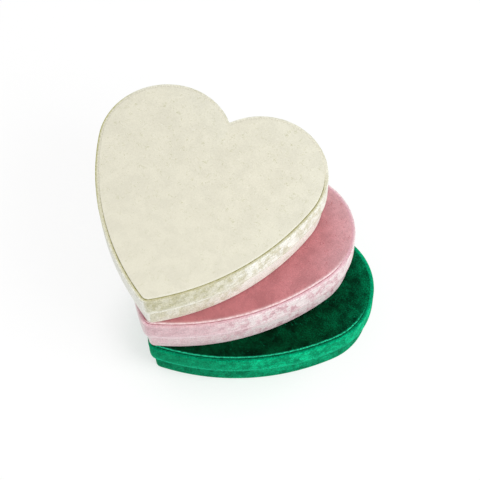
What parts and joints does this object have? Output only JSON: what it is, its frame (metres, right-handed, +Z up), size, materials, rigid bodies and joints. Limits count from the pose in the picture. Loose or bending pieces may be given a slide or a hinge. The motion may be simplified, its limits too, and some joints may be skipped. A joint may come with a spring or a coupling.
{
  "type": "valentine heart box",
  "caption": "Heart-shaped gift boxes of board wrapped in velvet, stacked and fanned about their tips; each lid lifts off and each upper box turns on the lid beneath it.",
  "frame": {"origin": "on the floor plane, under the middle of the fanned stack's bounding box", "axes": "+Z up through the stack; +Y along the middle (pink) box from its tip to its notch; +X to the right of that box's axis, which is the way the bottom (green) box is turned"},
  "size_m": [0.2642, 0.2064, 0.1504],
  "materials": {
    "cream_panel_velvet": "short-pile velvet, stretched over wadding",
    "cream_crushed_velvet": "crushed short-pile velvet, glued to board",
    "cream_paper": "matt lining paper",
    "pink_panel_velvet": "short-pile velvet, stretched over wadding",
    "pink_crushed_velvet": "crushed short-pile velvet, glued to board",
    "pink_paper": "matt lining paper",
    "green_panel_velvet": "short-pile velvet, stretched over wadding",
    "green_crushed_velvet": "crushed short-pile velvet, glued to board",
    "green_paper": "matt lining paper",
    "greyboard": "plain grey chipboard",
    "white_card": "plain white card",
    "wadding": "bonded polyester wadding"
  },
  "bodies": {
    "green_base": {"green_base_sole": "green_paper", "green_base_board": "greyboard", "green_base_wall": "greyboard", "green_base_wall_wrap": "green_crushed_velvet", "green_base_floor_lining": "green_paper", "green_base_wall_lining": "green_paper"},
    "green_lid": {"green_lid_board": "greyboard", "green_lid_skirt": "greyboard", "green_lid_skirt_wrap": "green_crushed_velvet", "green_lid_skirt_lining": "green_paper", "green_lid_ceiling_lining": "green_paper", "green_lid_panel_card": "white_card", "green_lid_panel_wadding": "wadding", "green_lid_panel_cover": "green_panel_velvet"},
    "pink_base": {"pink_base_sole": "pink_paper", "pink_base_board": "greyboard", "pink_base_wall": "greyboard", "pink_base_wall_wrap": "pink_crushed_velvet", "pink_base_floor_lining": "pink_paper", "pink_base_wall_lining": "pink_paper"},
    "pink_lid": {"pink_lid_board": "greyboard", "pink_lid_skirt": "greyboard", "pink_lid_skirt_wrap": "pink_crushed_velvet", "pink_lid_skirt_lining": "pink_paper", "pink_lid_ceiling_lining": "pink_paper", "pink_lid_panel_card": "white_card", "pink_lid_panel_wadding": "wadding", "pink_lid_panel_cover": "pink_panel_velvet"},
    "cream_base": {"cream_base_sole": "cream_paper", "cream_base_board": "greyboard", "cream_base_wall": "greyboard", "cream_base_wall_wrap": "cream_crushed_velvet", "cream_base_floor_lining": "cream_paper", "cream_base_wall_lining": "cream_paper"},
    "cream_lid": {"cream_lid_board": "greyboard", "cream_lid_skirt": "greyboard", "cream_lid_skirt_wrap": "cream_crushed_velvet", "cream_lid_skirt_lining": "cream_paper", "cream_lid_ceiling_lining": "cream_paper", "cream_lid_panel_card": "white_card", "cream_lid_panel_wadding": "wadding", "cream_lid_panel_cover": "cream_panel_velvet"}
  },
  "joints": [
    {"name": "green_lid_lift", "type": "slide", "parent": "green_base", "child": "green_lid", "axis": [0, 0, 1], "range_m": [0, 0.07]},
    {"name": "pink_box_turn", "type": "hinge", "parent": "green_lid", "child": "pink_base", "pos_m": [0.0005, -0.09369, 0.0502], "axis": [0, 0, 1], "range_deg": [-13.3, 10]},
    {"name": "pink_lid_lift", "type": "slide", "parent": "pink_base", "child": "pink_lid", "axis": [0, 0, 1], "range_m": [0, 0.07]},
    {"name": "cream_box_turn", "type": "hinge", "parent": "pink_lid", "child": "cream_base", "pos_m": [0.0013, -0.09309, 0.1004], "axis": [0, 0, 1], "range_deg": [-15.3, 10]},
    {"name": "cream_lid_lift", "type": "slide", "parent": "cream_base", "child": "cream_lid", "axis": [0, 0, 1], "range_m": [0, 0.07]}
  ]
}
